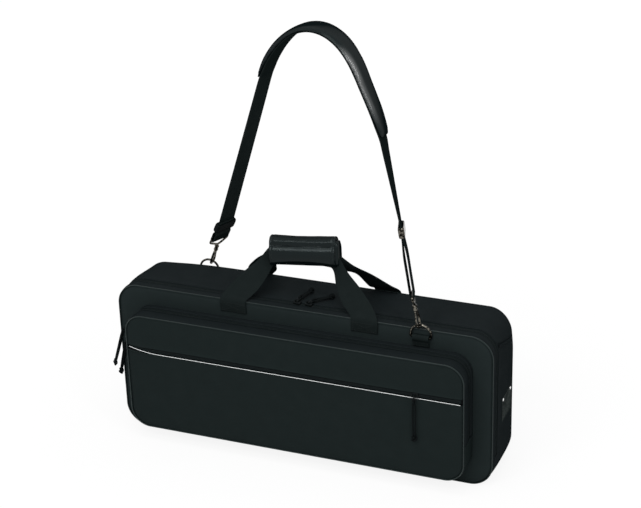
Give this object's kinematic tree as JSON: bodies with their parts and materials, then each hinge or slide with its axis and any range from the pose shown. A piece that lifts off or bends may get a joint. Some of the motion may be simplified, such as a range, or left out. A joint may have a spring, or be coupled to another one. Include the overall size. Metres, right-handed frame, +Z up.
{
  "type": "keyboard gig bag",
  "caption": "Padded soft case for a keyboard, with a clamshell lid, a box pocket, webbing handles in a wrapped grip and a padded shoulder strap.",
  "frame": {"origin": "middle of the flat bottom that the bag stands on", "axes": "+X along the bag, +Y towards its back, +Z up"},
  "size_m": [0.724, 0.2006, 0.8092],
  "materials": {
    "woven_fabric": "coarse black woven nylon",
    "padded_lining": "foam padding with a plain black lining",
    "edge_piping": "soft black piping",
    "reflective_piping": "pale reflective piping",
    "webbing": "black woven webbing",
    "leatherette": "black grained leatherette, satin",
    "zip_tape": "black zip tape with a coil",
    "gunmetal": "dark nickel plate",
    "clear_vinyl": "clear vinyl over a black backing",
    "pull_cord": "black braided cord"
  },
  "bodies": {
    "case": {"case_gusset": "woven_fabric", "back_panel": "woven_fabric", "case_padding": "padded_lining", "back_piping": "edge_piping", "main_zip_case_tape": "zip_tape", "rear_ring_tab": "webbing", "rear_handle_loop": "webbing", "card_holder": "clear_vinyl", "card_rivet_front": "gunmetal", "card_rivet_rear": "gunmetal", "rear_hook_eye": "gunmetal", "rear_strap_loop": "webbing"},
    "lid": {"lid_panel": "woven_fabric", "lid_padding": "padded_lining", "lid_strip": "woven_fabric", "lid_piping": "edge_piping", "main_zip_lid_tape": "zip_tape", "pocket_wall": "woven_fabric", "pocket_zip_wall_tape": "zip_tape", "pocket_piping": "edge_piping", "pocket_lower_panel": "woven_fabric", "slip_pocket_lower": "woven_fabric", "front_ring_tab": "webbing", "front_handle_loop": "webbing", "front_hook_eye": "gunmetal", "front_strap_loop": "webbing"},
    "flap": {"flap_strip": "woven_fabric", "pocket_zip_flap_tape": "zip_tape", "flap_piping": "edge_piping", "flap_panel": "woven_fabric", "slip_pocket_upper": "woven_fabric", "reflective_piping": "reflective_piping", "slip_pocket_zip_tape": "zip_tape"},
    "grip": {"grip_wrap": "leatherette"},
    "strap": {"shoulder_pad": "leatherette", "strap_webbing": "webbing"},
    "front_ring": {"front_d_ring": "gunmetal"},
    "rear_ring": {"rear_d_ring": "gunmetal"},
    "front_hook": {"front_hook": "gunmetal"},
    "rear_hook": {"rear_hook": "gunmetal"},
    "front_gate": {"front_hook_gate": "gunmetal"},
    "rear_gate": {"rear_hook_gate": "gunmetal"},
    "front_glide": {"front_strap_glide": "gunmetal"},
    "rear_glide": {"rear_strap_glide": "gunmetal"},
    "main_left_slider": {"main_left_slider": "gunmetal"},
    "main_left_pull": {"main_left_tab": "gunmetal", "main_left_cord": "pull_cord"},
    "main_right_slider": {"main_right_slider": "gunmetal"},
    "main_right_pull": {"main_right_tab": "gunmetal", "main_right_cord": "pull_cord"},
    "side_upper_slider": {"side_upper_slider": "gunmetal"},
    "side_upper_pull": {"side_upper_tab": "gunmetal", "side_upper_cord": "pull_cord"},
    "side_lower_slider": {"side_lower_slider": "gunmetal"},
    "side_lower_pull": {"side_lower_tab": "gunmetal", "side_lower_cord": "pull_cord"},
    "face_slider": {"face_slider": "gunmetal"},
    "face_pull": {"face_tab": "gunmetal", "face_cord": "pull_cord"}
  },
  "joints": [
    {"name": "lid_hinge", "type": "hinge", "parent": "case", "child": "lid", "pos_m": [0, -0.0588, 0.0022], "axis": [1, 0, 0], "range_deg": [0, 24], "deforming": ["front_handle_loop", "front_strap_loop"]},
    {"name": "flap_hinge", "type": "hinge", "parent": "lid", "child": "flap", "pos_m": [0, -0.1113, 0.102], "axis": [-1, 0, 0], "range_deg": [-90, 0]},
    {"name": "grip_drop", "type": "slide", "parent": "case", "child": "grip", "axis": [0, 0, 1], "range_m": [-0.03, 0], "deforming": ["front_handle_loop", "rear_handle_loop"]},
    {"name": "strap_swing", "type": "hinge", "parent": "case", "child": "strap", "pos_m": [-0.18492, 0.0517, 0.3926], "axis": [0.9433, -0.2637, 0.2014], "range_deg": [-40, 40], "deforming": ["strap_webbing"]},
    {"name": "front_ring_tilt", "type": "hinge", "parent": "lid", "child": "front_ring", "pos_m": [0.23, -0.0643, 0.281], "axis": [1, 0, 0], "range_deg": [-3, 3]},
    {"name": "rear_ring_tilt", "type": "hinge", "parent": "case", "child": "rear_ring", "pos_m": [-0.23, 0.0643, 0.281], "axis": [1, 0, 0], "range_deg": [-3, 3]},
    {"name": "front_hook_swivel", "type": "hinge", "parent": "lid", "child": "front_hook", "pos_m": [0.22596, -0.0643, 0.30381], "axis": [-0.215, 0.0601, 0.9748], "range_deg": [-15, 15]},
    {"name": "rear_hook_swivel", "type": "hinge", "parent": "case", "child": "rear_hook", "pos_m": [-0.22341, 0.0643, 0.30305], "axis": [0.3498, -0.0978, 0.9317], "range_deg": [-15, 15]},
    {"name": "front_gate_hinge", "type": "hinge", "parent": "front_hook", "child": "front_gate", "pos_m": [0.22035, -0.06614, 0.32926], "axis": [0.9765, 0, 0.2154], "range_deg": [0, 25]},
    {"name": "rear_gate_hinge", "type": "hinge", "parent": "rear_hook", "child": "rear_gate", "pos_m": [-0.21423, 0.06515, 0.32749], "axis": [-0.9362, 0, 0.3515], "range_deg": [0, 25]},
    {"name": "front_glide_slide", "type": "slide", "parent": "case", "child": "front_glide", "axis": [-0.173, 0.0581, 0.9832], "range_m": [-0.05, 0.05], "deforming": ["front_strap_loop", "strap_webbing"]},
    {"name": "rear_glide_slide", "type": "slide", "parent": "case", "child": "rear_glide", "axis": [0.4459, -0.1686, 0.8791], "range_m": [-0.01, 0.06], "deforming": ["rear_strap_loop", "strap_webbing"]},
    {"name": "main_left_slide", "type": "slide", "parent": "case", "child": "main_left_slider", "axis": [-1, 0, 0], "range_m": [0, 0.28]},
    {"name": "main_left_pull_hinge", "type": "hinge", "parent": "main_left_slider", "child": "main_left_pull", "pos_m": [-0.011, -0.038, 0.3012], "axis": [0.9927, -0.1203, 0], "range_deg": [0, 150]},
    {"name": "main_right_slide", "type": "slide", "parent": "case", "child": "main_right_slider", "axis": [1, 0, 0], "range_m": [0, 0.28]},
    {"name": "main_right_pull_hinge", "type": "hinge", "parent": "main_right_slider", "child": "main_right_pull", "pos_m": [0.011, -0.038, 0.3012], "axis": [0.8, -0.6, 0], "range_deg": [0, 150]},
    {"name": "side_upper_slide", "type": "slide", "parent": "lid", "child": "side_upper_slider", "axis": [0, 0, -1], "range_m": [0, 0.01]},
    {"name": "side_upper_pull_hinge", "type": "hinge", "parent": "side_upper_slider", "child": "side_upper_pull", "pos_m": [-0.3292, -0.079, 0.2165], "axis": [0, 0.7474, -0.6644], "range_deg": [-10, 60]},
    {"name": "side_lower_slide", "type": "slide", "parent": "lid", "child": "side_lower_slider", "axis": [0, 0, -1], "range_m": [0, 0.075]},
    {"name": "side_lower_pull_hinge", "type": "hinge", "parent": "side_lower_slider", "child": "side_lower_pull", "pos_m": [-0.3292, -0.079, 0.19], "axis": [0, 0.9671, 0.2545], "range_deg": [-5, 45]},
    {"name": "face_slide", "type": "slide", "parent": "flap", "child": "face_slider", "axis": [-1, 0, 0], "range_m": [0, 0.53]},
    {"name": "face_pull_hinge", "type": "hinge", "parent": "face_slider", "child": "face_pull", "pos_m": [0.234, -0.1162, 0.1925], "axis": [-1, 0, 0], "range_deg": [0, 100]}
  ]
}
